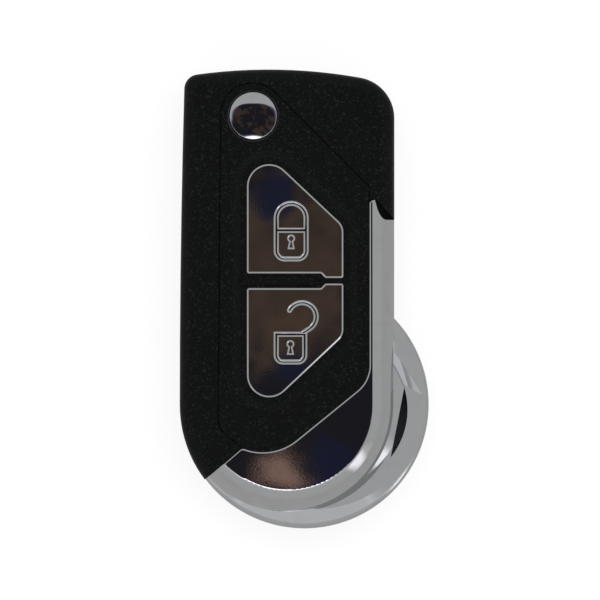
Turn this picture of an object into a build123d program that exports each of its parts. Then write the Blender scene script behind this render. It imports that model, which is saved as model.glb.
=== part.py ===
# Flip key remote shell: two black covers, a chrome corner frame with a key ring
# crescent, two buttons, a release button and a blade that folds into the left side.
#
# Millimetres. The key lies on its back: +Z out of the front face, +Y towards the
# end where the blade opens, +X to the right seen from the front. The origin is the
# middle of the outline, on the rear face.
from build123d import *
from math import cos, pi, radians, sin, sqrt, tan
import os

# Case, seen from the front
length = 75.0
width = 40.7
thickness = 16.0
crescent_overhang = 5.7
side_bow = 0.8
crown_radius = 85.0
crown_offset = -3.0
small_corner = 2.4
large_corner = 6.7
least_corner = 0.5

# Case, through its thickness
rear_height = 8.0
rear_wall = 1.5
front_wall = 1.4
deck_thickness = 1.3
front_edge_round = 2.0
rear_edge_round = 1.6
joint_gap = 0.1

# Button panel, let into the front cover
panel_thickness = 1.2
panel_corner = 5.3
panel_taper = 0.5
panel_foot = 3.8
panel_foot_corner = 3.0
panel_bevel = 0.15
basin_depth = 0.5
basin_margin = 2.3
basin_slope = 1.2
bridge_width = 1.4
bridge_reach = 1.0
bridge_drop = 0.2

# Seam of the chrome frame, from the middle of the round lower end
seam_inset = 4.05
seam_top_gap = 1.1
seam_top_angle = -48.0
seam_top_corner = 0.7
seam_bend = 3.9
seam_bend_corner = 5.5
seam_hollow_x = -2.3
seam_hollow_y = -8.9
seam_hollow_run = 5.0
seam_tip_x = -7.35
seam_tip_y = -7.05
seam_tip_corner = 0.8
seam_end_angle = 220.9

# Chrome frame
crease_inset = 3.5
crease_round = 0.9
flank_foot_rise = 4.2
flank_bulge = 0.4
frame_wall = 1.6
frame_bevel = 0.2
frame_bevel_height = 0.12
crescent_rim_rise = 2.65
crescent_slope = 16.0
crescent_edge_round = 1.2
crescent_foot_round = 1.0

# Valley between the flank and the crescent's rim, from the middle of the crescent
valley_x = 1.4
valley_y = 0.7
valley_inset = 5.25
valley_rise = 2.3
valley_outer_slope = 16.0
valley_inner_slope = 33.0
valley_reach = 4.0
valley_tilt = 2.5
valley_end_x = 16.8
valley_end_y = 5.5
valley_end_angle = -49.0
valley_end_slope = 30.0
valley_foot = 0.15

# Slit for the key ring, through the crescent
slit_length = 11.7
slit_width = 1.45
slit_inset = 4.85
slit_angle = -11.0
pocket_width = 2.7
pocket_depth = 8.3
pocket_sweep = 48.0

# Hinge of the blade
pivot_from_side = 12.0
pivot_from_top = 7.6
hub_radius = 6.2
hub_lift = 0.4
hub_from_front = 3.6
hub_bore_radius = 4.3
hub_boss_wall = 1.4
running_gap = 0.05
chamber_radius = 11.5
chamber_wall = 1.2
arm_thickness = 4.4
arm_length = 11.0
arm_margin = 0.7
corner_gap = 0.7
tail_height = 4.7
swing_gap = 0.3
spoke_count = 8

# Blade
blade_width = 8.0
blade_thickness = 2.2
blade_past_ring = 4.95
blade_tip_length = 3.6
blade_tip_width = 3.0
blade_gap = 0.4
tang_width = 6.0
tang_length = 6.4
groove_width = 1.8
groove_depth = 0.5
groove_spacing = 3.0
groove_from_tip = 9.2
pin_radius = 0.8
pin_from_end = 2.4
fit_gap = 0.02

# Release button, plunger and spring
button_radius = 3.95
button_gap = 0.3
button_rim_drop = 0.3
dome_rise = 0.45
dome_edge = 0.25
release_travel = 2.0
barrel_gap = 0.05
barrel_from_front = 1.6
barrel_drop = 1.4
barrel_cavity_radius = 3.3
barrel_roof = 1.5
ear_width = 2.2
ear_reach = 1.1
ear_height = 1.3
ear_gap = 0.2
peg_radius = 1.2
peg_length = 1.0
spring_radius = 2.75
spring_wire = 0.6
spring_turns = 5
cap_radius = 4.95
cap_flange_radius = 5.6
cap_flange_height = 1.0
cap_spigot_radius = 2.0
cap_spigot_height = 3.5
washer_thickness = 0.3

# Lock and unlock keys: the lower key is the upper one's mirror image
key_inset = 11.0
key_from_seam = 4.3
key_from_pivot = 3.15
key_below_ring = 3.5
key_foot = 1.22
key_tab_foot = 0.48
key_tab_width = 2.9
key_tab_slope = 0.7
key_slope = 43.3
key_large_corner = 3.6
key_side_corner = 2.4
key_small_corner = 0.35
key_bevel = 0.24
key_bevel_height = 0.14
key_rise = 0.05
key_travel = 0.6
key_gap = 0.12
flange_margin = 0.8
flange_thickness = 0.6
flange_gap = 0.1
flange_split = 0.2

# Keypad and its retainer
pad_thickness = 0.6
pad_margin = 0.1
pad_reach = 6.5
dome_radius = 2.6
dome_height = 1.1
window_radius = 2.0
retainer_thickness = 1.1
ledge_width = 0.8
ledge_height = 0.6
post_radius = 0.7
post_head_radius = 1.1
post_head_height = 0.4
post_from_side = 5.0
post_from_dome = 2.8

# Blade channel and the inside of the rear cover
channel_wall = 1.25
channel_gap = 0.4
side_wall = 2.0
rib_thickness = 1.2
rib_pockets = 6
cell_radius = 10.0
cell_rise = 3.6
cell_gap = 0.3
cradle_wall = 1.0
cradle_height = 3.0
contact_thickness = 0.3
contact_width = 4.0
contact_height = 3.7
contact_lip = 3.4
contact_foot = 3.5
finger_width = 1.2
finger_length = 6.5
finger_angle = 4.0
board_post_radius = 0.9
board_post_height = 3.4
board_post_inset = 2.4
board_post_from_dome = 0.9

# Screws
screw_radius = 0.9
screw_head_radius = 1.9
screw_head_height = 1.2
screw_length = 10.8
boss_radius = 2.2
screw_from_side = 5.65
screw_from_top = 8.9
screw_from_bay = 7.55
screw_from_bottom = 8.95
frame_boss_radius = 1.3
frame_screw_radius = 0.6
frame_screw_head = 1.9
frame_screw_head_height = 0.8
frame_screw_length = 1.5
frame_screw_inset = 7.2
frame_screw_angle = -34.5
frame_screw_gap = 0.35

# Places that follow from the sizes above
left = -width / 2
body_width = width - crescent_overhang
right = left + body_width
top = length / 2
bottom = -length / 2
body_x = left + body_width / 2
body_radius = body_width / 2
ring_radius = width / 2
ring_y = bottom + ring_radius
crescent_end_y = ring_y + sqrt(ring_radius**2 - right**2)
left_top = left + side_bow
pivot_x = left + pivot_from_side
pivot_y = top - pivot_from_top
blade_x = pivot_x - (body_x - pivot_x)
deck_top = thickness - panel_thickness
deck_bottom = deck_top - deck_thickness
seam_x = right - seam_inset
panel_left = pivot_x - panel_corner
panel_peak = pivot_y + panel_corner * (1 + sqrt(2))
panel_shoulder = panel_peak - (seam_x - panel_left)
key_left = left + key_inset
key_right = seam_x - key_from_seam
key_width = key_right - key_left
keys_top = pivot_y - key_from_pivot
keys_bottom = ring_y - key_below_ring
key_y = (keys_top + keys_bottom) / 2
key_peak = keys_top - key_y
key_side = key_peak - key_width * tan(radians(key_slope))
blade_reach = pivot_y - ring_y + blade_past_ring
rim_height = rear_height + crescent_rim_rise
flank_drop = thickness - rear_height - flank_foot_rise
hub_bottom = rear_wall + cap_flange_height + hub_lift
hub_top = thickness - hub_from_front
button_rim = thickness - button_rim_drop
barrel_top = thickness - barrel_from_front
barrel_bottom = rear_height - barrel_drop
arm_bottom = rear_height - arm_thickness / 2
arm_top = rear_height + arm_thickness / 2
blade_bottom = rear_height - blade_thickness / 2
blade_top = rear_height + blade_thickness / 2
channel_x = blade_x + blade_width / 2 + channel_gap
bay_x = channel_x + channel_wall
front_inset = frame_wall + joint_gap + front_wall
hub_boss_radius = hub_radius + hub_boss_wall
chamber_rim = chamber_radius + chamber_wall
boss_face = hub_top + joint_gap
ear_top = boss_face - ear_gap
key_bottom = deck_bottom - flange_gap - flange_thickness
pad_top = key_bottom - flange_gap - dome_height
pad_bottom = pad_top - pad_thickness
retainer_bottom = pad_bottom - retainer_thickness
cell_x = (bay_x + right - rear_wall) / 2
cell_y = ring_y + cell_rise
dome_x = (key_left + key_right) / 2
screw_places = (
    (right - screw_from_side, top - screw_from_top),
    (bay_x + screw_from_bay, bottom + screw_from_bottom),
)
far = 2 * length


def crown_y(x, inset=0):
    """Height of the bowed upper edge at x, or of one that lies inside it."""
    reach = x - (body_x + crown_offset)
    return top - crown_radius + sqrt((crown_radius - inset) ** 2 - reach**2)


def prism(face, low, high):
    """Solid between two heights over a flat outline."""
    return extrude(Pos(0, 0, low) * face, amount=high - low)


def block(x, y, z):
    """Box between pairs of limits along X, Y and Z."""
    middle = Pos((x[0] + x[1]) / 2, (y[0] + y[1]) / 2, (z[0] + z[1]) / 2)
    return middle * Box(x[1] - x[0], y[1] - y[0], z[1] - z[0])


def post(x, y, radius, low, high):
    """Upright cylinder between two heights."""
    return Pos(x, y, (low + high) / 2) * Cylinder(radius, high - low)


def turned(points):
    """Solid turned round the Z axis from points (radius, height)."""
    outline = [(radius, 0, height) for radius, height in points]
    return revolve(make_face(Polyline(*outline, close=True)), Axis.Z)


def rounded_polygon(points, radii):
    """Polygon whose corners have their own radii."""
    return make_face(FilletPolyline(*points, radius=radii, close=True))


def step(point, angle, distance):
    """Point at a distance from another, in a direction given in degrees."""
    return (
        point[0] + distance * cos(radians(angle)),
        point[1] + distance * sin(radians(angle)),
    )


def upper_edges(inset=0):
    """Left side and upper edge of the case, from the lower left to the upper right."""
    start_y = crown_y(left_top + inset, inset)
    left_side = ThreePointArc(
        (left + inset, ring_y),
        (left + inset + side_bow / 4, (ring_y + start_y) / 2),
        (left_top + inset, start_y),
    )
    crown = ThreePointArc(
        (left_top + inset, start_y),
        (body_x + crown_offset, top - inset),
        (right - inset, crown_y(right - inset, inset)),
    )
    return left_side, crown


def round_top(face, inset=0):
    """Rounds the two upper corners of an outline."""
    corners = ((left_top + inset, small_corner), (right - inset, large_corner))
    for x, radius in corners:
        place = Vector(x, crown_y(x, inset), 0)
        corner = face.vertices().sort_by_distance(place)[0]
        face = fillet(corner, max(radius - inset, least_corner))
    return face


def body_outline(inset=0):
    """Outline of the body with a half round lower end, or one that lies inside it."""
    left_side, crown = upper_edges(inset)
    edge_x = right - inset
    right_side = Line((edge_x, crown_y(edge_x, inset)), (edge_x, ring_y))
    lower_end = ThreePointArc(
        (edge_x, ring_y), (body_x, ring_y - body_radius + inset), (left + inset, ring_y)
    )
    return round_top(make_face([left_side, crown, right_side, lower_end]), inset)


def cover_outline():
    """Outline of the black covers, whose lower left follows the crescent's circle."""
    left_side, crown = upper_edges()
    right_side = Line((right, crown_y(right)), (right, crescent_end_y))
    closing = Line((right, crescent_end_y), (0, bottom))
    halfway = step((0, ring_y), (180 + 270) / 2, ring_radius)
    lower_left = ThreePointArc((0, bottom), halfway, (left, ring_y))
    return round_top(make_face([left_side, crown, right_side, closing, lower_left]))


def seam_corners():
    """Corners of the seam between the black parts and the frame, from the top."""
    tip = (body_x + seam_tip_x, ring_y + seam_tip_y)
    return [
        (seam_x, panel_shoulder - seam_top_gap),
        (seam_x, ring_y + seam_bend),
        (body_x + seam_hollow_x, ring_y + seam_hollow_y),
        tip,
        step(tip, seam_end_angle, width / 2),
    ]


def seam_hollow_radius():
    """Radius that rounds the seam's hollow over a set run of its two edges."""
    bend, hollow, tip = [Vector(*corner) for corner in seam_corners()[1:4]]
    turn = (hollow - bend).get_angle(tip - hollow)
    return seam_hollow_run / tan(radians(turn / 2))


def frame_outline():
    """Plan of all that the chrome frame covers above the joint of the covers."""
    corners = seam_corners()
    far_side = [
        (left, -far),
        (far, -far),
        step(corners[0], seam_top_angle, far),
    ]
    radii = [
        seam_top_corner,
        seam_bend_corner,
        seam_hollow_radius(),
        seam_tip_corner,
        0,
        0,
        0,
        0,
    ]
    return rounded_polygon(corners + far_side, radii)


def crescent_outline():
    """Plan of the part of the case that the crescent wraps."""
    tip, end = seam_corners()[3:]
    return make_face(
        Polyline(
            tip,
            end,
            (left, -far),
            (far, -far),
            (far, crescent_end_y),
            (body_x, crescent_end_y),
            close=True,
        )
    )


def panel_outline():
    """Plan of the button panel."""
    seam = seam_corners()
    points = [
        (panel_left, panel_peak),
        (seam_x, panel_shoulder),
        seam[1],
        seam[2],
        seam[3],
        (panel_left - panel_taper, ring_y - panel_foot),
    ]
    radii = [
        panel_corner,
        0,
        seam_bend_corner,
        seam_hollow_radius(),
        seam_tip_corner,
        panel_foot_corner,
    ]
    return rounded_polygon(points, radii)


def key_outline(side):
    """Plan of one key, above the line between the keys with side 1, below it with -1."""
    points = [
        (key_left, key_foot),
        (key_left, key_peak),
        (key_right, key_side),
        (key_right, key_tab_foot),
        (key_right - key_tab_width, key_tab_foot),
        (key_right - key_tab_width - key_tab_slope, key_foot),
    ]
    radii = [
        key_small_corner,
        key_large_corner,
        key_side_corner,
        key_small_corner,
        key_small_corner,
        key_small_corner,
    ]
    placed = [(x, key_y + side * y) for x, y in points]
    return rounded_polygon(placed, radii)


def basin_outline(margin):
    """Plan of the shallow basin round both keys."""
    points = [
        (key_left, keys_top),
        (key_right, key_y + key_side),
        (key_right, key_y - key_side),
        (key_left, keys_bottom),
    ]
    radii = [
        key_large_corner,
        key_side_corner,
        key_side_corner,
        key_large_corner,
    ]
    return offset(rounded_polygon(points, radii), margin)


def bay_outline(inset):
    """Plan of the electronics bay, beside the blade channel and below the hinge."""
    bay = body_outline(inset)
    beside = Pos(bay_x + far / 2, 0) * Rectangle(far, far)
    hinge = Pos(pivot_x, pivot_y) * Circle(chamber_rim)
    return (bay & beside) - hinge


def hinge_space():
    """Space that the arm sweeps between its closed and its open place."""
    low = arm_bottom - swing_gap
    high = arm_top + swing_gap
    arm_side = blade_width / 2 + arm_margin + swing_gap
    open_side = body_x + arm_side
    closed_end = pivot_y - arm_length - swing_gap
    disc = post(pivot_x, pivot_y, chamber_radius, low, high)
    corner = block((-far, pivot_x), (closed_end, far), (low, high))
    mouth = block((pivot_x, open_side), (pivot_y, far), (low, high))
    return disc + corner + mouth


def blade_channel():
    """Slot in the left side that takes the blade."""
    tip_y = pivot_y - blade_reach - blade_gap
    root_y = pivot_y - arm_length
    return block(
        (-far, channel_x),
        (tip_y, root_y),
        (blade_bottom - blade_gap / 2, blade_top + blade_gap / 2),
    )


def channel_pockets(low, high):
    """Pockets above or below the blade channel, which leave ribs between them."""
    start = pivot_y - blade_reach
    end = pivot_y - arm_length - swing_gap - rib_thickness
    pitch = (end - start) / rib_pockets
    pockets = Part()
    for number in range(rib_pockets):
        pocket_start = start + number * pitch
        pockets += block(
            (left + side_wall, channel_x),
            (pocket_start, pocket_start + pitch - rib_thickness),
            (low, high),
        )
    return pockets


def hinge_pockets(low, high):
    """Pockets round the hub's bearing, with spokes between them."""
    ring = prism(Circle(chamber_radius) - Circle(hub_boss_radius), low, high)
    spokes = Part()
    for turn in range(spoke_count // 2):
        angle = turn * 360 / spoke_count
        spoke = Box(2 * chamber_radius, rib_thickness, high - low)
        spokes += Rot(0, 0, angle) * Pos(0, 0, (low + high) / 2) * spoke
    inside = prism(body_outline(side_wall), low, high)
    return (Pos(pivot_x, pivot_y) * (ring - spokes)) & inside


def rounded_cover(low, high, edge_z, radius):
    """Block of one black cover with its outer edge rounded."""
    cover = prism(cover_outline(), low, high)
    edges = cover.edges().filter_by_position(Axis.Z, edge_z, edge_z)
    closing = edges.sort_by_distance(
        Vector(right / 2, (crescent_end_y + bottom) / 2, edge_z)
    )[0]
    return fillet([edge for edge in edges if edge != closing], radius)


def frame_profile(crease, foot, low, high, drop, bulge, corner):
    """Half section of the body at the frame, from its axis to the flank."""
    start = (crease, 0, high)
    end = (foot, 0, high - drop)
    run = sqrt((foot - crease) ** 2 + drop**2)
    middle = (
        (crease + foot) / 2 + bulge * drop / run,
        0,
        high - drop / 2 + bulge * (foot - crease) / run,
    )
    flank = ThreePointArc(start, middle, end) if bulge else Line(start, end)
    rest = Polyline(end, (foot, 0, low), (0, 0, low), (0, 0, high), start)
    face = make_face([flank, rest])
    if corner:
        crease_corner = face.vertices().sort_by_distance(Vector(*start))[0]
        face = fillet(crease_corner, corner)
    return face


def swept_body(profile):
    """The half section turned round the lower end and drawn up the right side."""
    lower_end = Pos(body_x, ring_y) * revolve(profile, Axis.Z)
    side = extrude(Pos(body_x, ring_y) * profile, amount=top - ring_y, dir=(0, 1, 0))
    return lower_end + side


def frame_cavity(gap):
    """Inside of the chrome frame, smaller by a gap for the core that fills it."""
    wall_radius = body_radius - frame_wall - gap
    crease_radius = body_radius - crease_inset - gap
    return swept_body(
        frame_profile(
            crease_radius - frame_wall / 2,
            wall_radius,
            rear_height,
            deck_top - gap,
            flank_drop - frame_wall,
            0,
            0,
        )
    )


def make_rear_cover():
    """Black tray with the hub's lower bearing, the blade channel and the cell cradle."""
    foot = prism(body_outline() & crescent_outline(), 0, rear_height)
    cover = rounded_cover(0, rear_height, 0, rear_edge_round)
    cover = cover - prism(crescent_outline(), 0, rear_height) + foot
    bay = prism(bay_outline(rear_wall), rear_wall, rear_height)
    bosses = Part()
    for x, y in screw_places:
        bosses += post(x, y, boss_radius, rear_wall, rear_height)
    board_y = dome_places()[0][1] + board_post_from_dome
    for x in (bay_x + board_post_inset, right - rear_wall - board_post_inset):
        bosses += post(
            x, board_y, board_post_radius, rear_wall, rear_wall + board_post_height
        )
    cradle_inner = cell_radius + cell_gap
    cradle = post(
        cell_x, cell_y, cradle_inner + cradle_wall, rear_wall, rear_wall + cradle_height
    )
    cradle -= post(cell_x, cell_y, cradle_inner, 0, thickness)
    contact_side = contact_width / 2 + cell_gap
    cradle -= block(
        (cell_x - contact_side, cell_x + contact_side), (cell_y, top), (0, thickness)
    )
    cover -= bay - bosses - cradle
    cover -= hinge_space()
    cover -= blade_channel()
    cover -= channel_pockets(rear_wall, rear_height)
    cover -= hinge_pockets(rear_wall, rear_height)
    bearing_z = hub_bottom - washer_thickness
    cover -= post(pivot_x, pivot_y, hub_radius + running_gap, bearing_z, thickness)
    cover -= post(pivot_x, pivot_y, cap_flange_radius + running_gap, rear_wall, thickness)
    cover -= post(pivot_x, pivot_y, cap_radius + running_gap, -1, thickness)
    for x, y in screw_places:
        shank = post(0, 0, screw_radius + joint_gap, -1, thickness)
        head = turned(screw_head_points(joint_gap / 2))
        cover -= Pos(x, y) * (shank + head)
    return cover


def screw_head_points(gap):
    """Section of a countersunk head, larger by a gap."""
    return [
        (0, 0),
        (screw_head_radius + gap, 0),
        (screw_radius + gap, screw_head_height),
        (0, screw_head_height),
    ]


def make_front_cover():
    """Black shell with the deck under the panel and the frame, and the upper bearing."""
    cover = rounded_cover(rear_height, thickness, thickness, front_edge_round)
    cover -= prism(offset(frame_outline(), joint_gap), rear_height, thickness)
    cover -= prism(panel_outline(), deck_top, thickness)
    core = frame_cavity(joint_gap) & prism(
        offset(frame_outline(), 2 * joint_gap), rear_height, deck_top
    )
    cover += core
    bosses = Part()
    for x, y in screw_places:
        bosses += post(x, y, boss_radius, rear_height, deck_bottom)
    ledge = block(
        (bay_x, bay_x + ledge_width),
        (ring_y - far, key_y + key_side),
        (retainer_bottom - ledge_height, retainer_bottom),
    )
    cover -= prism(bay_outline(front_inset), rear_height, deck_bottom) - bosses - ledge
    for x, y in post_places():
        cover += post(x, y, post_radius, retainer_bottom, deck_bottom)
        cover += post(
            x, y, post_head_radius, retainer_bottom - post_head_height, retainer_bottom
        )
    cover -= hinge_space()
    cover -= blade_channel()
    cover -= channel_pockets(rear_height, deck_bottom)
    cover -= hinge_pockets(rear_height, deck_bottom)
    cover -= post(pivot_x, pivot_y, hub_radius + running_gap, 0, boss_face)
    hole_radius = button_radius + button_gap + running_gap
    cover -= post(pivot_x, pivot_y, hole_radius, 0, thickness)
    cover -= Pos(pivot_x, pivot_y) * ear_slots(boss_face, boss_face + ear_height)
    for side in (1, -1):
        window = offset(key_outline(side), key_gap + joint_gap)
        flange_space = offset(key_outline(side), flange_margin + 2 * joint_gap)
        cover -= prism(window, deck_bottom, thickness)
        cover -= prism(flange_space, key_bottom - key_travel - joint_gap, deck_bottom)
    for x, y in screw_places:
        core_hole = post(0, 0, screw_radius + fit_gap, 0, screw_length + joint_gap)
        cover -= Pos(x, y) * core_hole
    for x, y in frame_screw_places():
        cover -= post(x, y, frame_boss_radius + joint_gap, deck_bottom, thickness)
    return cover


def make_button_panel():
    """Plate with a shallow basin, two windows and the release button's hole."""
    panel = prism(offset(panel_outline(), -joint_gap / 2), deck_top, thickness)
    rim = panel.edges().filter_by_position(Axis.Z, thickness, thickness)
    panel = chamfer(rim, panel_bevel)
    floor = thickness - basin_depth
    basin = loft(
        [
            Pos(0, 0, floor) * basin_outline(basin_margin - basin_slope),
            Pos(0, 0, thickness) * basin_outline(basin_margin),
        ]
    )
    bridge_left = key_left - bridge_reach
    bridge_right = key_right - key_tab_width - bridge_width
    bridge = prism(
        Pos((bridge_left + bridge_right) / 2, key_y)
        * SlotOverall(bridge_right - bridge_left, bridge_width),
        floor,
        thickness - bridge_drop,
    )
    panel -= basin - bridge
    for side in (1, -1):
        panel -= prism(offset(key_outline(side), key_gap), deck_top, thickness)
    panel -= post(pivot_x, pivot_y, button_radius + button_gap, deck_top, thickness)
    return panel


def make_chrome_frame():
    """Chromed corner: flat mirror face, curved flank and the crescent for a key ring."""
    crease = body_radius - crease_inset
    flank = swept_body(
        frame_profile(
            crease,
            body_radius,
            rear_height,
            thickness,
            flank_drop,
            flank_bulge,
            crease_round,
        )
    )
    crescent = Pos(0, ring_y) * crescent_disc()
    bevel_start = thickness - frame_bevel_height
    seam_line = Pos(0, 0, bevel_start) * frame_outline()
    bevel_line = Pos(0, 0, thickness) * offset(frame_outline(), -frame_bevel)
    plan = prism(frame_outline(), rear_height, bevel_start)
    upper = (flank + crescent) & (plan + loft([seam_line.face(), bevel_line.face()]))
    lower = crescent & prism(crescent_outline(), 0, rear_height)
    lower -= prism(body_outline(-joint_gap), 0, rear_height)
    frame = upper - frame_cavity(0) + lower
    frame -= crescent_valley()
    frame -= key_ring_slit()
    hole_top = deck_bottom + frame_screw_length + joint_gap
    for x, y in frame_screw_places():
        frame += post(x, y, frame_boss_radius, deck_bottom + joint_gap, deck_top)
        frame -= post(x, y, frame_screw_radius + fit_gap, 0, hole_top)
    return frame


def brim_height(radius):
    """Height of the crescent's brim at a distance from its middle."""
    return rim_height + (ring_radius - radius) * tan(radians(crescent_slope))


def crescent_disc():
    """Disc that forms the crescent, whose face falls away from the flank to its rim."""
    disc = turned(
        [
            (0, 0),
            (ring_radius, 0),
            (ring_radius, rim_height),
            (0, brim_height(0)),
        ]
    )
    foot = disc.edges().filter_by_position(Axis.Z, 0, 0)
    disc = fillet(foot, crescent_foot_round)
    rim = disc.edges().filter_by_position(Axis.Z, rim_height, rim_height)
    return fillet(rim, crescent_edge_round)


def crescent_valley():
    """Valley with two leaning walls, lowest at the slit and closed where it nears the flank."""
    radius = ring_radius - valley_inset
    outer = radius + valley_reach
    inner = radius - valley_reach
    ring = turned(
        [
            (radius, 0),
            (outer, valley_reach * tan(radians(valley_outer_slope))),
            (outer, thickness),
            (inner, thickness),
            (inner, valley_reach * tan(radians(valley_inner_slope))),
        ]
    )
    floor = rear_height + valley_rise + radius * sin(radians(valley_tilt))
    leaning = Rot(0, 0, slit_angle) * Rot(0, valley_tilt, 0) * Rot(0, 0, -slit_angle)
    end_height = brim_height(sqrt(valley_end_x**2 + valley_end_y**2))
    end = Pos(valley_end_x, valley_end_y, end_height) * Rot(0, 0, valley_end_angle)
    end *= Rot(valley_end_slope, 0, 0) * Pos(0, 0, far / 2)
    valley = (Pos(valley_x, valley_y, floor) * leaning * ring) & (end * Box(far, far, far))
    return Pos(0, ring_y) * valley - prism(body_outline(valley_foot), 0, thickness)


def key_ring_slit():
    """Slit at the bottom of the valley, which opens into a wider pocket at the rear."""
    near = ring_radius - slit_inset
    half = slit_length / 2
    lens = make_face(
        [
            Line((near, -half), (near, half)),
            ThreePointArc((near, half), (near + slit_width, 0), (near, -half)),
        ]
    )
    slit = prism(lens, 0, thickness)
    pocket_face = make_face(
        Polyline(
            (near, 0, 0),
            (near + pocket_width, 0, 0),
            (near + pocket_width, 0, pocket_depth),
            (near, 0, pocket_depth),
            close=True,
        )
    )
    pocket = Rot(0, 0, -pocket_sweep / 2) * revolve(
        pocket_face, Axis.Z, revolution_arc=pocket_sweep
    )
    return Pos(0, ring_y) * Rot(0, 0, slit_angle) * (slit + pocket)


def make_key(side):
    """Chromed cap of one key, with the flange that keeps it under the deck."""
    outline = key_outline(side)
    cap = prism(outline, key_bottom, thickness + key_rise)
    upper = cap.edges().filter_by_position(
        Axis.Z, thickness + key_rise, thickness + key_rise
    )
    cap = chamfer(upper, key_bevel_height, key_bevel)
    flange = prism(
        offset(outline, flange_margin), key_bottom, key_bottom + flange_thickness
    )
    half_y = key_y + side * (flange_split + far / 2)
    half = block((-far, far), (half_y - far / 2, half_y + far / 2), (0, thickness))
    return cap + (flange & half)


def dome_places():
    """Middle of the dome under each key."""
    return [(dome_x, key_y + side * key_side) for side in (1, -1)]


def post_places():
    """Places of the posts that hold the keypad, just past the domes."""
    x = right - post_from_side
    return [(x, key_y + side * (key_side + post_from_dome)) for side in (1, -1)]


def frame_screw_places():
    """Places of the screws that hold the frame, on a circle: one free, one beside the bay's wall."""
    circle = body_radius - frame_screw_inset
    beside = bay_x + frame_screw_head + frame_screw_gap
    below = ring_y - sqrt(circle**2 - (beside - body_x) ** 2)
    return [step((body_x, ring_y), frame_screw_angle, circle), (beside, below)]


def pad_plate(low, high):
    """Plate the size of the keypad, with holes for the posts."""
    plate = block(
        (bay_x + pad_margin, right - front_inset - pad_margin),
        (key_y - key_side - pad_reach, key_y + key_side + pad_reach),
        (low, high),
    )
    plate &= prism(offset(bay_outline(front_inset), -pad_margin), low, high)
    for x, y in post_places():
        plate -= post(x, y, post_radius + fit_gap, low, high)
    return plate


def make_keypad():
    """Silicone sheet with a dome under each key."""
    pad = pad_plate(pad_bottom, pad_top)
    dome = Cone(dome_radius, dome_radius / 2, dome_height)
    for x, y in dome_places():
        pad += Pos(x, y, pad_top + dome_height / 2) * dome
    return pad


def make_keypad_retainer():
    """Plate that holds the keypad up, with a window under each dome."""
    plate = pad_plate(retainer_bottom, pad_bottom)
    for x, y in dome_places():
        plate -= post(x, y, window_radius, retainer_bottom, pad_bottom)
    return plate


def ear_slots(low, high):
    """Space for the plunger's two ears, between two heights, round the pivot."""
    reach = hub_bore_radius + ear_reach + joint_gap
    half = ear_width / 2 + joint_gap
    return block((-reach, reach), (-half, half), (low, high))


def make_blade_head():
    """Hub with the arm that carries the blade and the tail that fills the mouth."""
    disc = Pos(pivot_x, pivot_y) * Circle(chamber_radius - swing_gap)
    inside = body_outline(corner_gap)
    lower_right = Pos(pivot_x + far / 2, pivot_y + tail_height - far / 2) * Rectangle(
        far, far
    )
    arm_width = blade_width + 2 * arm_margin
    arm = Pos(blade_x, pivot_y - arm_length / 2) * Rectangle(arm_width, arm_length)
    below = Pos(pivot_x, pivot_y - far / 2) * Rectangle(2 * far, far)
    plan = (disc & inside) - lower_right - below + arm
    head = prism(plan, arm_bottom, arm_top)
    hub = post(pivot_x, pivot_y, hub_radius, hub_bottom, hub_top)
    head += hub
    head -= post(pivot_x, pivot_y, hub_bore_radius, 0, thickness)
    slot_bottom = ear_top - ear_height - release_travel - joint_gap
    head -= Pos(pivot_x, pivot_y) * ear_slots(slot_bottom, thickness)
    tang = block(
        (blade_x - tang_width / 2 - fit_gap, blade_x + tang_width / 2 + fit_gap),
        (pivot_y - far, pivot_y - arm_length + tang_length + fit_gap),
        (blade_bottom - fit_gap, blade_top + fit_gap),
    )
    head -= tang
    head -= post(
        blade_x,
        pivot_y - arm_length + pin_from_end,
        pin_radius + fit_gap,
        0,
        thickness,
    )
    return head


def make_key_blade():
    """Uncut blank: flat bar with a pointed end and a groove pair in each face."""
    end = pivot_y - arm_length
    tip = pivot_y - blade_reach
    half = blade_width / 2
    half_tip = blade_tip_width / 2
    shank = make_face(
        Polyline(
            (blade_x - half, end),
            (blade_x - half, tip + blade_tip_length),
            (blade_x - half_tip, tip),
            (blade_x + half_tip, tip),
            (blade_x + half, tip + blade_tip_length),
            (blade_x + half, end),
            close=True,
        )
    )
    blade = prism(shank, blade_bottom, blade_top)
    blade += block(
        (blade_x - tang_width / 2, blade_x + tang_width / 2),
        (end, end + tang_length),
        (blade_bottom, blade_top),
    )
    groove_top = end - groove_width
    groove_bottom = tip + groove_from_tip
    for x in (blade_x - groove_spacing / 2, blade_x + groove_spacing / 2):
        for face in (blade_bottom, blade_top):
            blade -= block(
                (x - groove_width / 2, x + groove_width / 2),
                (groove_bottom, groove_top),
                (face - groove_depth, face + groove_depth),
            )
    blade -= post(blade_x, end + pin_from_end, pin_radius + fit_gap, 0, thickness)
    return blade


def make_blade_pin():
    """Pin that holds the blade in the head."""
    y = pivot_y - arm_length + pin_from_end
    return post(blade_x, y, pin_radius, arm_bottom, arm_top)


def make_release_button():
    """Chromed dome with a peg for the plunger."""
    crown = button_rim + dome_rise
    dome_radius_of_curve = (button_radius**2 + dome_rise**2) / (2 * dome_rise)
    half = button_radius / 2
    middle_z = crown - dome_radius_of_curve + sqrt(dome_radius_of_curve**2 - half**2)
    dome = ThreePointArc((button_radius, 0, button_rim), (half, 0, middle_z), (0, 0, crown))
    rest = Polyline(
        (0, 0, crown),
        (0, 0, barrel_top - peg_length),
        (peg_radius, 0, barrel_top - peg_length),
        (peg_radius, 0, barrel_top),
        (button_radius, 0, barrel_top),
        (button_radius, 0, button_rim),
    )
    face = make_face([dome, rest])
    rim = face.vertices().sort_by_distance(Vector(button_radius, 0, button_rim))[0]
    return Pos(pivot_x, pivot_y) * revolve(fillet(rim, dome_edge), Axis.Z)


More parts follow.
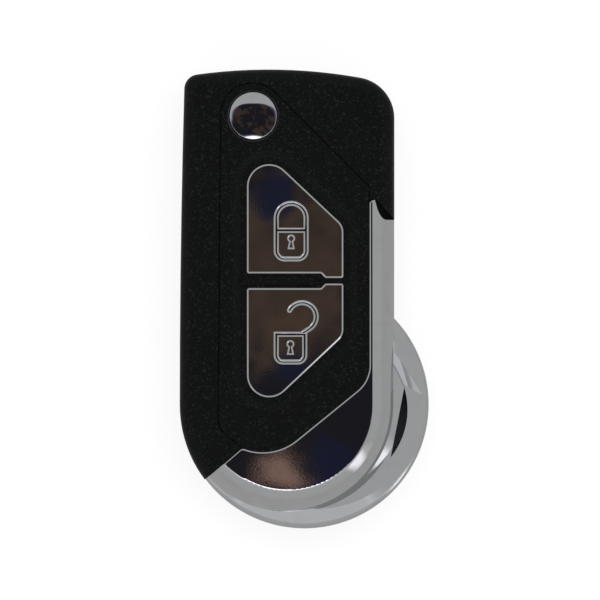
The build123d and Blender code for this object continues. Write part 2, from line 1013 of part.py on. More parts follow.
def make_release_barrel():
    """Plunger: a cup over the spring, with two ears that lock in the front cover."""
    outer = hub_bore_radius - barrel_gap
    cup = post(0, 0, outer, barrel_bottom, barrel_top)
    cup -= post(0, 0, barrel_cavity_radius, barrel_bottom, barrel_top - barrel_roof)
    cup -= post(0, 0, peg_radius + fit_gap, barrel_top - peg_length - fit_gap, barrel_top)
    reach = hub_bore_radius + ear_reach
    ears = block(
        (-reach, reach), (-ear_width / 2, ear_width / 2), (ear_top - ear_height, ear_top)
    )
    ears -= post(0, 0, (outer + barrel_cavity_radius) / 2, 0, thickness)
    return Pos(pivot_x, pivot_y) * (cup + ears)


def make_flip_spring():
    """Coil between the cap's flange and the plunger's roof."""
    low = rear_wall + cap_flange_height + spring_wire / 2 + fit_gap
    high = barrel_top - barrel_roof - spring_wire / 2 - fit_gap
    height = high - low
    coil = Helix(pitch=height / spring_turns, height=height, radius=spring_radius)
    section = Plane(origin=coil @ 0, z_dir=coil % 0) * Circle(spring_wire / 2)
    return Pos(pivot_x, pivot_y, low) * sweep(section, path=coil)


def make_spring_cap():
    """Round cap in the rear cover, whose spigot centres the spring."""
    flange_top = rear_wall + cap_flange_height
    cap = turned(
        [
            (0, 0),
            (cap_radius, 0),
            (cap_radius, rear_wall),
            (cap_flange_radius, rear_wall),
            (cap_flange_radius, flange_top),
            (cap_spigot_radius, flange_top),
            (cap_spigot_radius, flange_top + cap_spigot_height),
            (0, flange_top + cap_spigot_height),
        ]
    )
    return Pos(pivot_x, pivot_y) * cap


def make_thrust_washer():
    """Washer between the hub and the rear cover."""
    low = hub_bottom - washer_thickness
    ring = post(pivot_x, pivot_y, hub_radius - fit_gap, low, hub_bottom)
    return ring - post(pivot_x, pivot_y, hub_bore_radius + joint_gap, low, hub_bottom)


def make_contact_plus():
    """Bent strip beside the cell, with a lip over it and a foot for the board."""
    side = (cell_x - contact_width / 2, cell_x + contact_width / 2)
    edge = cell_y + cell_radius + cell_gap
    base = rear_wall
    upper = base + contact_height
    strip = block(side, (edge, edge + contact_thickness), (base, upper))
    strip += block(
        side,
        (edge - contact_lip, edge + contact_thickness),
        (upper - contact_thickness, upper),
    )
    strip += block(
        side, (edge, edge + contact_foot), (base, base + contact_thickness)
    )
    return strip


def make_contact_minus():
    """Strip under the cell, with two sprung fingers."""
    base = rear_wall
    strip = block(
        (cell_x - contact_width / 2, cell_x + contact_width / 2),
        (cell_y - cell_radius / 2, cell_y + cell_radius / 2),
        (base, base + contact_thickness),
    )
    for side in (1, -1):
        finger = Pos(0, finger_length / 2, contact_thickness / 2) * Box(
            finger_width, finger_length, contact_thickness
        )
        place = Pos(
            cell_x + side * (contact_width / 2 + finger_width / 2),
            cell_y - cell_radius / 2,
            base,
        )
        strip += place * Rot(finger_angle, 0, 0) * finger
        strip += place * Box(
            finger_width * 2,
            finger_width,
            contact_thickness,
            align=(Align.CENTER, Align.MIN, Align.MIN),
        )
    return strip


def make_case_screws():
    """Two countersunk screws through the rear cover into the front cover."""
    screw = turned(screw_head_points(0)) + post(0, 0, screw_radius, 0, screw_length)
    return place_screws(screw, screw_places, 0)


def make_frame_screws():
    """Two small screws from inside the front cover into the frame's bosses."""
    screw = post(0, 0, frame_screw_head, -frame_screw_head_height, 0)
    screw += post(0, 0, frame_screw_radius, 0, frame_screw_length)
    return place_screws(screw, frame_screw_places(), deck_bottom)


def place_screws(screw, places, height):
    """Group of equal screws."""
    return [Pos(x, y, height) * screw for x, y in places]


pieces = {
    "rear_cover": make_rear_cover(),
    "front_cover": make_front_cover(),
    "button_panel": make_button_panel(),
    "chrome_frame": make_chrome_frame(),
    "lock_button": make_key(1),
    "unlock_button": make_key(-1),
    "keypad": make_keypad(),
    "keypad_retainer": make_keypad_retainer(),
    "release_button": make_release_button(),
    "release_barrel": make_release_barrel(),
    "flip_spring": make_flip_spring(),
    "spring_cap": make_spring_cap(),
    "thrust_washer": make_thrust_washer(),
    "blade_head": make_blade_head(),
    "key_blade": make_key_blade(),
    "blade_pin": make_blade_pin(),
    "contact_plus": make_contact_plus(),
    "contact_minus": make_contact_minus(),
    "case_screws": Compound(children=make_case_screws()),
    "frame_screws": Compound(children=make_frame_screws()),
}

os.makedirs("parts", exist_ok=True)
for name, piece in pieces.items():
    export_step(piece, f"parts/{name}.step")
    print(name, [round(value, 2) for value in piece.bounding_box().size])
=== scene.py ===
# %% [markdown]
# The flip key's shell comes from the CAD model as a fixed frame. Every piece lies in its mesh, in
# metres, so a finish or a finer piece goes straight where the CAD says. The box of the CAD model is
# kept.

# %% Load the frame
import math

import bmesh
import bpy
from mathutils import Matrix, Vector


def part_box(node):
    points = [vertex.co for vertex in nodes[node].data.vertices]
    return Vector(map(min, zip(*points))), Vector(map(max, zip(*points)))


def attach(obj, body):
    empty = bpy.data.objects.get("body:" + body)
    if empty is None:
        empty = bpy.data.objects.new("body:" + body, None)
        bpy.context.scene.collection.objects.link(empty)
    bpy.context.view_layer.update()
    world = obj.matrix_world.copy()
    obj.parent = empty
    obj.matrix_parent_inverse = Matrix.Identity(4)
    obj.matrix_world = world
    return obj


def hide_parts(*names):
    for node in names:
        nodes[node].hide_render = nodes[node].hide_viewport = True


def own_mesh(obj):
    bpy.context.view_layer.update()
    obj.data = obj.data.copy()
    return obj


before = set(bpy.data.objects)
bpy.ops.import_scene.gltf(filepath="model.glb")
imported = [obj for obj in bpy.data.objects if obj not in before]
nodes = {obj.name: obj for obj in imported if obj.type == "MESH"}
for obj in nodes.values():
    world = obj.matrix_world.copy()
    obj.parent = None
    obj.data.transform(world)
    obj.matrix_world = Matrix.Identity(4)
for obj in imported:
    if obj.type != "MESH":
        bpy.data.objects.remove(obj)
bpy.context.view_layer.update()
scene = bpy.context.scene
MM = 0.001
print("nodes:", len(nodes))

# %% [markdown]
# The photograph looks straight down on the key with a long lens, so the camera hangs far above it
# and turns nowhere. The picture's width is worked out where the front face lies, and the lens
# follows from the distance, because a long lens keeps the tall rear parts from leaning outwards.

# %% Camera
PICTURE_WIDTH = 98.04 * MM
FOCUS_HEIGHT = 12.0 * MM
CAMERA_HEIGHT = 900.0 * MM
SENSOR_WIDTH = 36.0
CAMERA_PLACE = (-0.735 * MM, -0.08 * MM)

camera_data = bpy.data.cameras.new("camera")
camera_data.sensor_width = SENSOR_WIDTH
camera_data.lens = SENSOR_WIDTH * (CAMERA_HEIGHT - FOCUS_HEIGHT) / PICTURE_WIDTH
camera = bpy.data.objects.new("camera", camera_data)
camera.location = (*CAMERA_PLACE, CAMERA_HEIGHT)
scene.collection.objects.link(camera)
scene.camera = camera
scene.view_settings.view_transform = "Standard"
print("lens, mm:", round(camera_data.lens, 1))

# %% [markdown]
# Shader maths reads best as plain expressions. A small class wraps a socket, and its operators add
# Math nodes to the tree. Every other node comes from one method, which takes the node's type, its
# settings and what goes into its sockets. Geometry node trees are built with the same two classes.

# %% Node helpers
class Wire:
    """A value socket that can be added, multiplied and compared in an expression."""

    def __init__(self, sheet, socket):
        self.sheet = sheet
        self.socket = socket

    def math(self, operation, *others):
        inputs = dict(enumerate((self, *others)))
        return self.sheet.node("ShaderNodeMath", {"operation": operation}, inputs)[0]

    def __add__(self, other):
        return self.math("ADD", other)

    def __radd__(self, other):
        return self.math("ADD", other)

    def __sub__(self, other):
        return self.math("SUBTRACT", other)

    def __rsub__(self, other):
        return self.sheet.node("ShaderNodeMath", {"operation": "SUBTRACT"}, {0: other, 1: self})[0]

    def __mul__(self, other):
        return self.math("MULTIPLY", other)

    def __rmul__(self, other):
        return self.math("MULTIPLY", other)

    def __truediv__(self, other):
        return self.math("DIVIDE", other)

    def __pow__(self, other):
        return self.math("POWER", other)

    def __abs__(self):
        return self.math("ABSOLUTE")

    def step(self, low, high):
        """0 below low, 1 above high and a smooth rise between them."""
        settings = {"interpolation_type": "SMOOTHSTEP"}
        inputs = {"Value": self, "From Min": low, "From Max": high}
        return self.sheet.node("ShaderNodeMapRange", settings, inputs)[0]


class Sheet:
    """One node tree: a material's, the world's or a Geometry Nodes tree."""

    def __init__(self, tree):
        self.tree = tree
        tree.nodes.clear()

    def node(self, kind, settings=None, inputs=None):
        made = self.tree.nodes.new(kind)
        for name, value in (settings or {}).items():
            setattr(made, name, value)
        for key, value in (inputs or {}).items():
            self.put(made.inputs[key], value)
        return [Wire(self, socket) for socket in made.outputs if socket.enabled]

    def put(self, socket, value):
        """Links wires to a socket, or sets its value."""
        wires = value if isinstance(value, list) else [value]
        for wire in wires:
            if isinstance(wire, Wire):
                self.tree.links.new(wire.socket, socket)
            else:
                socket.default_value = wire

    def mix(self, factor, first, second):
        """A colour between the first and the second."""
        inputs = {"Factor": factor, 6: first, 7: second}
        return self.node("ShaderNodeMix", {"data_type": "RGBA"}, inputs)[0]

    def noise(self, place, scale, detail=2.0, roughness=0.5):
        inputs = {"Vector": place, "Scale": scale, "Detail": detail, "Roughness": roughness}
        return self.node("ShaderNodeTexNoise", {}, inputs)[0]

    def place(self):
        """The point on the surface, in the object's own frame."""
        return self.node("ShaderNodeTexCoord")[3]

    def split(self, vector):
        return self.node("ShaderNodeSeparateXYZ", {}, {"Vector": vector})

    def stretched(self, place, scale):
        return self.node("ShaderNodeMapping", {}, {"Vector": place, "Scale": scale})[0]

    def bump(self, height, distance, strength=1.0):
        inputs = {"Height": height, "Distance": distance, "Strength": strength}
        return self.node("ShaderNodeBump", {}, inputs)[0]

    def finish(self, **inputs):
        named = {key.replace("_", " "): value for key, value in inputs.items()}
        shader = self.node("ShaderNodeBsdfPrincipled", {}, named)[0]
        self.node("ShaderNodeOutputMaterial", {}, {"Surface": shader})


def new_material(name):
    material = bpy.data.materials.new(name)
    material.use_nodes = True
    return material, Sheet(material.node_tree)


def dress(node_names, material):
    """Gives CAD nodes a finish in place of their plain one."""
    for name in node_names:
        data = nodes[name].data
        data.materials.clear()
        data.materials.append(material)
    print(material.name, "on", ", ".join(node_names))


# %% [markdown]
# The covers are black plastic with a soft-touch paint. It is nearly black, and a fine grain of
# specks scatters a little light. Two noises make it: a fine one lifts the paint into grain, and a
# broad one varies how dull it is, as hands polish such paint unevenly. The paint mirrors less than
# bare plastic does, so its specular level is set low on the shader itself.

# %% Soft-touch black
PAINT = (0.0020, 0.0022, 0.0022, 1)
PAINT_SPECK = (0.0135, 0.0145, 0.0145, 1)
PAINT_SHINE = 0.11
PAINT_ROUGHNESS = 0.36
GRAIN_SCALE = 5200.0
GRAIN_HEIGHT = 0.03 * MM
GRAIN_STRENGTH = 0.4
SPECK_SCALE = 2600.0
SPECK_EDGES = (0.55, 0.72)
SPECK_SHARE = 0.6
SPECK_RISE = 0.8
WEAR_SCALE = 90.0
WEAR_ROUGHNESS = 0.12

soft_black, sheet = new_material("soft_black")
place = sheet.place()
grain = sheet.noise(place, GRAIN_SCALE, detail=3.0, roughness=0.6)
speck = sheet.noise(place, SPECK_SCALE).step(*SPECK_EDGES)
wear = sheet.noise(place, WEAR_SCALE, detail=3.0)
sheet.finish(
    Base_Color=sheet.mix(speck * SPECK_SHARE, PAINT, PAINT_SPECK),
    Roughness=wear * WEAR_ROUGHNESS + PAINT_ROUGHNESS,
    Specular_IOR_Level=PAINT_SHINE,
    Normal=sheet.bump(grain + speck * SPECK_RISE, GRAIN_HEIGHT, GRAIN_STRENGTH),
)
dress(["rear_cover", "front_cover", "button_panel"], soft_black)

# %% [markdown]
# The frame and the buttons are moulded plastic with chrome plated on it. The plating is a mirror:
# what it shows is the room. A very faint waviness bends the reflections, as on all plated plastic,
# a finer frosting breaks them into grain, and hair-fine scratches and a little haze vary its gloss.
# Deep in the key ring's slit and its pocket, the metal is painted a near-black, dull colour. This
# painted shade keeps the slit dark. A mask of the slit's place, made from distances, puts that painted
# shade there.

# %% Chrome plating
CHROME = (0.50, 0.503, 0.508, 1)
CHROME_HAZE = (0.44, 0.44, 0.45, 1)
# Near-black painted shade, drawn deep in the key ring's slit.
SLIT_PAINTED_SHADE = (0.010, 0.010, 0.011, 1)
WAVE_SCALE = 110.0
WAVE_HEIGHT = 0.006 * MM
FROST_SCALE = 3600.0
FROST_SHARE = 0.04
HAZE_SCALE = 420.0
HAZE_EDGES = (0.45, 0.75)
HAZE_SHARE = 0.5
SCRATCH_SCALE = 9000.0
SCRATCH_STRETCH = (1.0, 0.06, 1.0)
SCRATCH_EDGES = (0.66, 0.74)
MIRROR_ROUGHNESS = 0.012
HAZE_ROUGHNESS = 0.012
SCRATCH_ROUGHNESS = 0.05
SLIT_SHADE_ROUGHNESS = 0.5
RING_Y = -17.15 * MM
SLIT_X = 15.9 * MM
SLIT_Y = -20.2 * MM
SLIT_HALF_LENGTH = 7.5 * MM
SLIT_OUTER_RADIUS = 18.5 * MM
SLIT_LOW = 0.4 * MM
SLIT_HIGH = 10.2 * MM
MASK_EDGE = 0.4 * MM


def distance(sheet, place, x, y):
    """Distance in plan from an upright axis."""
    east, north, _ = sheet.split(place)
    return ((east - x) * (east - x) + (north - y) * (north - y)) ** 0.5


def slit_shade_mask(sheet, place):
    """1 deep inside the key ring's slit and its pocket, where shade is painted."""
    from_slit = distance(sheet, place, SLIT_X, SLIT_Y)
    from_ring = distance(sheet, place, 0.0, RING_Y)
    height = sheet.split(place)[2]
    near = 1 - from_slit.step(SLIT_HALF_LENGTH, SLIT_HALF_LENGTH + MASK_EDGE)
    rim = from_ring.step(SLIT_OUTER_RADIUS, SLIT_OUTER_RADIUS + MASK_EDGE)
    above = height.step(SLIT_LOW, SLIT_LOW + MASK_EDGE)
    below = 1 - height.step(SLIT_HIGH - 2 * MASK_EDGE, SLIT_HIGH)
    return near * (1 - rim) * above * below


dark_chrome, sheet = new_material("dark_chrome")
place = sheet.place()
wave = sheet.noise(place, WAVE_SCALE, detail=1.0, roughness=0.4)
frost = sheet.noise(place, FROST_SCALE)
haze = sheet.noise(place, HAZE_SCALE, detail=4.0, roughness=0.6)
scratch = sheet.noise(sheet.stretched(place, SCRATCH_STRETCH), SCRATCH_SCALE).step(*SCRATCH_EDGES)
# Painted shade: deep in the slit, the metal turns into a near-black, dull colour.
slit_shade = slit_shade_mask(sheet, place)
dull = haze * HAZE_ROUGHNESS + scratch * SCRATCH_ROUGHNESS + slit_shade * SLIT_SHADE_ROUGHNESS
metal = sheet.mix(haze.step(*HAZE_EDGES) * HAZE_SHARE, CHROME, CHROME_HAZE)
sheet.finish(
    Base_Color=sheet.mix(slit_shade, metal, SLIT_PAINTED_SHADE),
    Metallic=1 - slit_shade,
    Roughness=dull + MIRROR_ROUGHNESS,
    Normal=sheet.bump(wave + frost * FROST_SHARE, WAVE_HEIGHT),
)
dress(["chrome_frame", "release_button"], dark_chrome)

# %% [markdown]
# The pieces inside are seen only when the blade is out or the case is open. Moulded plastic has a
# fine spark-eroded grain, silicone is dull and a little dusty, and the metal pieces are drawn, cut
# or stamped, so their marks run one way. One helper makes the plastics and one the metals.

# %% Inner finishes
MOULD_CLOUD_SCALE = 130.0
MOULD_CLOUD_EDGES = (0.3, 0.7)
MOULD_CLOUD_ROUGHNESS = 0.15
MOULD_GRAIN_HEIGHT = 0.02 * MM
MOULD_GRAIN_STRENGTH = 0.7
LINE_SCALE = 1000.0
LINE_ROUGHNESS = 0.18
LINE_HEIGHT = 0.01 * MM
LINE_STRENGTH = 0.6
STAIN_SCALE = 260.0
STAIN_EDGES = (0.35, 0.7)
STAIN_ROUGHNESS = 0.1


def moulded(name, low, high, roughness, grain_scale):
    """Moulded plastic or silicone with a fine grain."""
    material, sheet = new_material(name)
    place = sheet.place()
    grain = sheet.noise(place, grain_scale, detail=4.0, roughness=0.55)
    cloud = sheet.noise(place, MOULD_CLOUD_SCALE, detail=3.0)
    sheet.finish(
        Base_Color=sheet.mix(cloud.step(*MOULD_CLOUD_EDGES), (*low, 1), (*high, 1)),
        Roughness=cloud * MOULD_CLOUD_ROUGHNESS + roughness,
        Normal=sheet.bump(grain, MOULD_GRAIN_HEIGHT, MOULD_GRAIN_STRENGTH),
    )
    return material


def drawn_metal(name, low, high, roughness, marks):
    """Metal with fine marks. They run along the axis whose number in marks is small."""
    material, sheet = new_material(name)
    place = sheet.place()
    line = sheet.noise(sheet.stretched(place, marks), LINE_SCALE, detail=4.0, roughness=0.6)
    stain = sheet.noise(place, STAIN_SCALE, detail=4.0, roughness=0.6)
    sheet.finish(
        Base_Color=sheet.mix(stain.step(*STAIN_EDGES), (*low, 1), (*high, 1)),
        Metallic=1.0,
        Roughness=line * LINE_ROUGHNESS + stain * STAIN_ROUGHNESS + roughness,
        Normal=sheet.bump(line, LINE_HEIGHT, LINE_STRENGTH),
    )
    return material


inner_plastic = moulded(
    "inner_plastic",
    low=(0.045, 0.045, 0.05),
    high=(0.07, 0.07, 0.075),
    roughness=0.38,
    grain_scale=3200.0,
)
silicone = moulded(
    "silicone",
    low=(0.09, 0.09, 0.10),
    high=(0.13, 0.13, 0.14),
    roughness=0.60,
    grain_scale=2400.0,
)
hinge_black = moulded(
    "hinge_black",
    low=(0.018, 0.018, 0.02),
    high=(0.03, 0.03, 0.032),
    roughness=0.32,
    grain_scale=3600.0,
)
spring_steel = drawn_metal(
    "spring_steel",
    low=(0.42, 0.42, 0.43),
    high=(0.55, 0.55, 0.56),
    roughness=0.22,
    marks=(1.0, 1.0, 9.0),
)
blade_metal = drawn_metal(
    "blade_metal",
    low=(0.52, 0.51, 0.49),
    high=(0.62, 0.61, 0.59),
    roughness=0.20,
    marks=(9.0, 0.5, 9.0),
)
contact_metal = drawn_metal(
    "contact_metal",
    low=(0.58, 0.57, 0.54),
    high=(0.68, 0.67, 0.64),
    roughness=0.24,
    marks=(1.0, 8.0, 8.0),
)
screw_steel = drawn_metal(
    "screw_steel",
    low=(0.10, 0.10, 0.11),
    high=(0.17, 0.17, 0.18),
    roughness=0.30,
    marks=(4.0, 4.0, 1.0),
)
dress(["release_barrel", "keypad_retainer", "spring_cap"], inner_plastic)
dress(["blade_head"], hinge_black)
dress(["thrust_washer", "blade_pin"], spring_steel)
dress(["key_blade"], blade_metal)
dress(["contact_plus", "contact_minus"], contact_metal)

# %% [markdown]
# A finer piece takes the place of its CAD node. It is turned into a plain mesh first, without live
# modifiers. Then it rides on the node's body, takes the record's material slot and hides the node.
# Edges sharper than a set angle stay sharp, and all others are shaded round.

# %% Piece helpers
SHARP_EDGE = math.radians(25.0)


def as_object(name, made):
    """Turns a bmesh into an object of the scene."""
    mesh = bpy.data.meshes.new(name)
    made.to_mesh(mesh)
    made.free()
    thing = bpy.data.objects.new(name, mesh)
    scene.collection.objects.link(thing)
    return thing


def settle(thing):
    """Turns the object's modifiers into a plain mesh with sharp and round edges."""
    graph = bpy.context.evaluated_depsgraph_get()
    mesh = bpy.data.meshes.new_from_object(thing.evaluated_get(graph))
    thing.modifiers.clear()
    thing.data = mesh
    mesh.shade_smooth()
    mesh.set_sharp_from_angle(angle=SHARP_EDGE)


def place_piece(thing, body, material):
    """Dresses a finished piece, which rides on a body."""
    thing.data.materials.clear()
    thing.data.materials.append(material)
    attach(thing, body)
    print(thing.name, "faces:", len(thing.data.polygons))


def stand_in(thing, node, body, material):
    """The finished piece takes the place of a CAD node."""
    place_piece(thing, body, material)
    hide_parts(node)


# %% [markdown]
# The two padlock signs are engraved in the caps of the keys. A ball-nosed cutter leaves a groove
# with a round floor, whose walls catch the light at the side of the room and draw the sign. So
# each groove is a solid with a round section along the sign's middle line, and the Boolean
# modifier takes it out of a merged copy of the key's CAD mesh. The section is given as widths at
# a few heights, and every width runs parallel to the middle line.

# %% Groove helpers
GROOVE_DEPTH = 0.18 * MM
GROOVE_HALF = 0.41 * MM
GROOVE_ABOVE = 0.09 * MM
GROOVE_STEPS = 4
EYE_SLOPE = 0.26 * MM
ARC_STEP = math.radians(6.0)


def arc_points(centre, radius, start, turn):
    """Points of an arc that starts at an angle and turns through another."""
    count = math.ceil(abs(turn) / ARC_STEP)
    angles = [start + turn * index / count for index in range(count + 1)]
    return [centre + radius * Vector((math.cos(angle), math.sin(angle))) for angle in angles]


def rounded_line(corners, radii):
    """Points of a closed line through corners, each rounded with its own radius or sharp."""
    points = []
    for index, (corner, radius) in enumerate(zip(corners, radii)):
        at = Vector(corner)
        if radius == 0:
            points.append(at)
            continue
        before = (Vector(corners[index - 1]) - at).normalized()
        after = (Vector(corners[(index + 1) % len(corners)]) - at).normalized()
        half = before.angle(after) / 2
        centre = at + (before + after).normalized() * radius / math.sin(half)
        first = at + before * radius / math.tan(half) - centre
        sweep = math.pi - 2 * half
        sign = 1 if before.cross(after) < 0 else -1
        points += arc_points(centre, radius, math.atan2(first.y, first.x), sign * sweep)
    return points


def side_vectors(points, closed):
    """For each point a vector to its left, longer at corners, so that walls stay parallel."""
    vectors = []
    last = len(points) - 1
    for index, point in enumerate(points):
        before = point - points[index - 1]
        after = points[(index + 1) % len(points)] - point
        if not closed and index == 0:
            before = after
        if not closed and index == last:
            after = before
        first = Vector((-before.y, before.x)).normalized()
        second = Vector((-after.y, after.x)).normalized()
        middle = (first + second).normalized()
        vectors.append(middle / middle.dot(first))
    return vectors


def groove_rails(points, closed):
    """Closed rails of (point, direction), so that point + half width * direction is a wall."""
    sides = side_vectors(points, closed)
    left = list(zip(points, sides))
    right = [(point, -side) for point, side in left]
    if closed:
        return [left, right]
    steps = range(1, round(math.pi / ARC_STEP))
    rail = list(left)
    for end, side in (right[-1], left[0]):
        start = math.atan2(-side.y, -side.x)
        cap = [start - step * ARC_STEP for step in steps]
        rail += [(end, Vector((math.cos(angle), math.sin(angle)))) for angle in cap]
        if end == points[-1]:
            rail += reversed(right)
    return [rail]


def bridge(made, low, high):
    """Faces between two rings of equal length."""
    for index in range(len(low)):
        after = (index + 1) % len(low)
        made.faces.new((low[index], low[after], high[after], high[index]))


def rail_solid(rails, levels):
    """Mesh with levels (width, height) over one rail, or between an outer and an inner one."""
    made = bmesh.new()
    stacks = []
    for rail in rails:
        stack = []
        for width, height in levels:
            flat = [point + direction * width for point, direction in rail]
            stack.append([made.verts.new((spot.x, spot.y, height)) for spot in flat])
        stacks.append(stack)
        for low, high in zip(stack, stack[1:]):
            bridge(made, low, high)
    for end in (0, -1):
        rings = [stack[end] for stack in stacks]
        if len(rings) == 1:
            made.faces.new(rings[0])
        else:
            bridge(made, *rings)
    bmesh.ops.recalc_face_normals(made, faces=made.faces)
    return as_object("cutter", made)


def groove(points, closed, top):
    """Cutter with a round floor along a line."""
    radius = (GROOVE_HALF**2 + GROOVE_DEPTH**2) / (2 * GROOVE_DEPTH)
    levels = []
    for step in range(1, GROOVE_STEPS + 1):
        width = GROOVE_HALF * step / GROOVE_STEPS
        rise = radius - math.sqrt(radius**2 - width**2)
        levels.append((width, top - GROOVE_DEPTH + rise))
    levels.append((GROOVE_HALF, top + GROOVE_ABOVE))
    return rail_solid(groove_rails(points, closed), levels)


def hollow(points, top):
    """Cutter with a flat floor and leaning walls inside a closed line."""
    rail = list(zip(points, side_vectors(points, True)))
    above = EYE_SLOPE * GROOVE_ABOVE / GROOVE_DEPTH
    return rail_solid([rail], [(EYE_SLOPE, top - GROOVE_DEPTH), (-above, top + GROOVE_ABOVE)])


# %% [markdown]
# A CAD mesh is loose triangles with normals of their own. A Boolean needs a closed mesh, so the
# copy's points are merged and its loaded normals are dropped. The cut is made by Blender's
# manifold solver, because both meshes are closed.

# %% Cutting
MERGE = 0.001 * MM


def merged_copy(node, name):
    """Closed copy of a CAD node's mesh."""
    made = bmesh.new()
    made.from_mesh(nodes[node].data)
    bmesh.ops.remove_doubles(made, verts=made.verts, dist=MERGE)
    copy = as_object(name, made)
    copy.data.attributes.remove(copy.data.attributes["custom_normal"])
    return copy


def engraved_key(node, body, cutters):
    """Takes the cutters out of a key, which then stands in for its node."""
    key = merged_copy(node, node + "_engraved")
    for cutter in cutters:
        step = key.modifiers.new("engrave", "BOOLEAN")
        step.operation = "DIFFERENCE"
        step.solver = "MANIFOLD"
        step.object = cutter
    settle(key)
    for cutter in cutters:
        bpy.data.objects.remove(cutter)
    stand_in(key, node, body, dark_chrome)


# %% [markdown]
# The closed padlock is an upright ring with a bar across it, and the open one a square body whose
# shackle hooks away to the right. Both have a keyhole: a round eye over a flared foot. All sizes
# run along the middle of the stroke.

# %% Padlock signs
LOCK_X = -2.17 * MM
LOCK_HALF = 2.43 * MM
LOCK_LOW = 6.6 * MM
LOCK_HIGH = 15.64 * MM
LOCK_FOOT_RADIUS = 1.35 * MM
LOCK_CROWN_RADIUS = 2.42 * MM
LOCK_BAR_Y = 11.26 * MM
LOCK_EYE_Y = 9.93 * MM
OPEN_X = -2.29 * MM
OPEN_HALF = 2.32 * MM
OPEN_LOW = -10.16 * MM
OPEN_HIGH = -5.65 * MM
OPEN_FOOT_RADIUS = 1.1 * MM
OPEN_EYE_Y = -7.25 * MM
SHACKLE_MIDDLE = Vector((-0.39, -2.80)) * MM
SHACKLE_RADIUS = 2.29 * MM
SHACKLE_START = math.radians(153.0)
SHACKLE_TURN = math.radians(-209.0)
SHACKLE_FOOT = Vector((-0.147, -5.376)) * MM
EYE_RADIUS = 0.64 * MM
EYE_OPEN = math.radians(64.0)
FLARE_HALF = 0.60 * MM
FLARE_DROP = 1.75 * MM


def upright_ring(x, half, low, high, foot, crown=0.0):
    """Closed line whose lower and upper corners have a radius each."""
    corners = [(x - half, low), (x + half, low), (x + half, high), (x - half, high)]
    return rounded_line(corners, [foot, foot, crown, crown])


def keyhole(x, y):
    """Closed line of a round eye over a flared foot."""
    eye = arc_points(Vector((x, y)), EYE_RADIUS, EYE_OPEN / 2 - math.pi / 2, 2 * math.pi - EYE_OPEN)
    foot = [Vector((x - FLARE_HALF, y - FLARE_DROP)), Vector((x + FLARE_HALF, y - FLARE_DROP))]
    return eye + foot


key_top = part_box("lock_button")[1].z
bar = [Vector((LOCK_X - LOCK_HALF, LOCK_BAR_Y)), Vector((LOCK_X + LOCK_HALF, LOCK_BAR_Y))]
lock_ring = upright_ring(LOCK_X, LOCK_HALF, LOCK_LOW, LOCK_HIGH, LOCK_FOOT_RADIUS, LOCK_CROWN_RADIUS)
open_body = upright_ring(OPEN_X, OPEN_HALF, OPEN_LOW, OPEN_HIGH, OPEN_FOOT_RADIUS)
shackle = arc_points(SHACKLE_MIDDLE, SHACKLE_RADIUS, SHACKLE_START, SHACKLE_TURN) + [SHACKLE_FOOT]
closed_sign = [
    groove(lock_ring, True, key_top),
    groove(bar, False, key_top),
    hollow(keyhole(LOCK_X, LOCK_EYE_Y), key_top),
]
open_sign = [
    groove(open_body, True, key_top),
    groove(shackle, False, key_top),
    hollow(keyhole(OPEN_X, OPEN_EYE_Y), key_top),
]
engraved_key("lock_button", "lock_key", closed_sign)
engraved_key("unlock_button", "unlock_key", open_sign)

# %% [markdown]
# Screws repeat, so Geometry Nodes make them: one tree builds a screw from its sizes, and a copy
# stands on each point of a base mesh. The same helper grows the spring. A tree's inputs are named
# and are set by the socket's identifier before the object is first evaluated.

# %% Geometry node helpers
def new_recipe(name, size_names):
    """A tree with named sizes: the sheet, the wire of the base mesh and those of the sizes."""
    tree = bpy.data.node_groups.new(name, "GeometryNodeTree")
    tree.interface.new_socket("Geometry", in_out="INPUT", socket_type="NodeSocketGeometry")
    for size_name in size_names:
        tree.interface.new_socket(size_name, in_out="INPUT", socket_type="NodeSocketFloat")
    tree.interface.new_socket("Geometry", in_out="OUTPUT", socket_type="NodeSocketGeometry")
    sheet = Sheet(tree)
    base, *sizes = sheet.node("NodeGroupInput")
    return sheet, base, sizes[: len(size_names)]


def end_recipe(sheet, base, shape, turn, material):
    """Stands the shape on every point of the base, each turned a little further."""
    index = sheet.node("GeometryNodeInputIndex")[0]
    rotation = sheet.node("ShaderNodeCombineXYZ", {}, {"Z": index * turn})[0]
    inputs = {"Points": base, "Instance": shape, "Rotation": rotation}
    copies = sheet.node("GeometryNodeInstanceOnPoints", {}, inputs)[0]
    real = sheet.node("GeometryNodeRealizeInstances", {}, {"Geometry": copies})[0]
    done = sheet.node("GeometryNodeSetMaterial", {}, {"Geometry": real, "Material": material})[0]
    sheet.node("NodeGroupOutput", {}, {"Geometry": done})
    return sheet.tree


def grow(name, tree, places, sizes):
    """Plain mesh of the tree's shape on each place."""
    base = bmesh.new()
    for place in places:
        base.verts.new(place)
    thing = as_object(name, base)
    step = thing.modifiers.new("grow", "NODES")
    step.node_group = tree
    for socket in tree.interface.items_tree:
        if socket.in_out == "INPUT" and socket.name in sizes:
            step[socket.identifier] = sizes[socket.name]
    settle(thing)
    return thing


# %% [markdown]
# Both kinds of screw are a turned head over a shank with a spiral thread, and a cross recess for
# the driver. The recess is two flat, tapered wedges at right angles, taken out of the head. A wedge
# starts a little outside the head, so that the cut is clean. The head stands on the point, and the
# shank goes up from it, because the key is closed from behind.

# %% Screws
ROUND = 48
THREAD_ROUND = 28
THREAD_SHARE = 0.3
SCREW_TURN = math.radians(37.0)
WEDGE_MOUTH = 1.2
WEDGE_POINT = 0.35
WEDGE_START = 0.2
WEDGE_FLATNESS = 0.22
SCREW_SIZES = ["Rim radius", "Neck radius", "Head height", "Shank radius", "Length", "Pitch", "Recess"]


def raised(sheet, shape, height):
    """The shape, moved up."""
    lift = sheet.node("ShaderNodeCombineXYZ", {}, {"Z": height})[0]
    return sheet.node("GeometryNodeTransform", {}, {"Geometry": shape, "Translation": lift})[0]


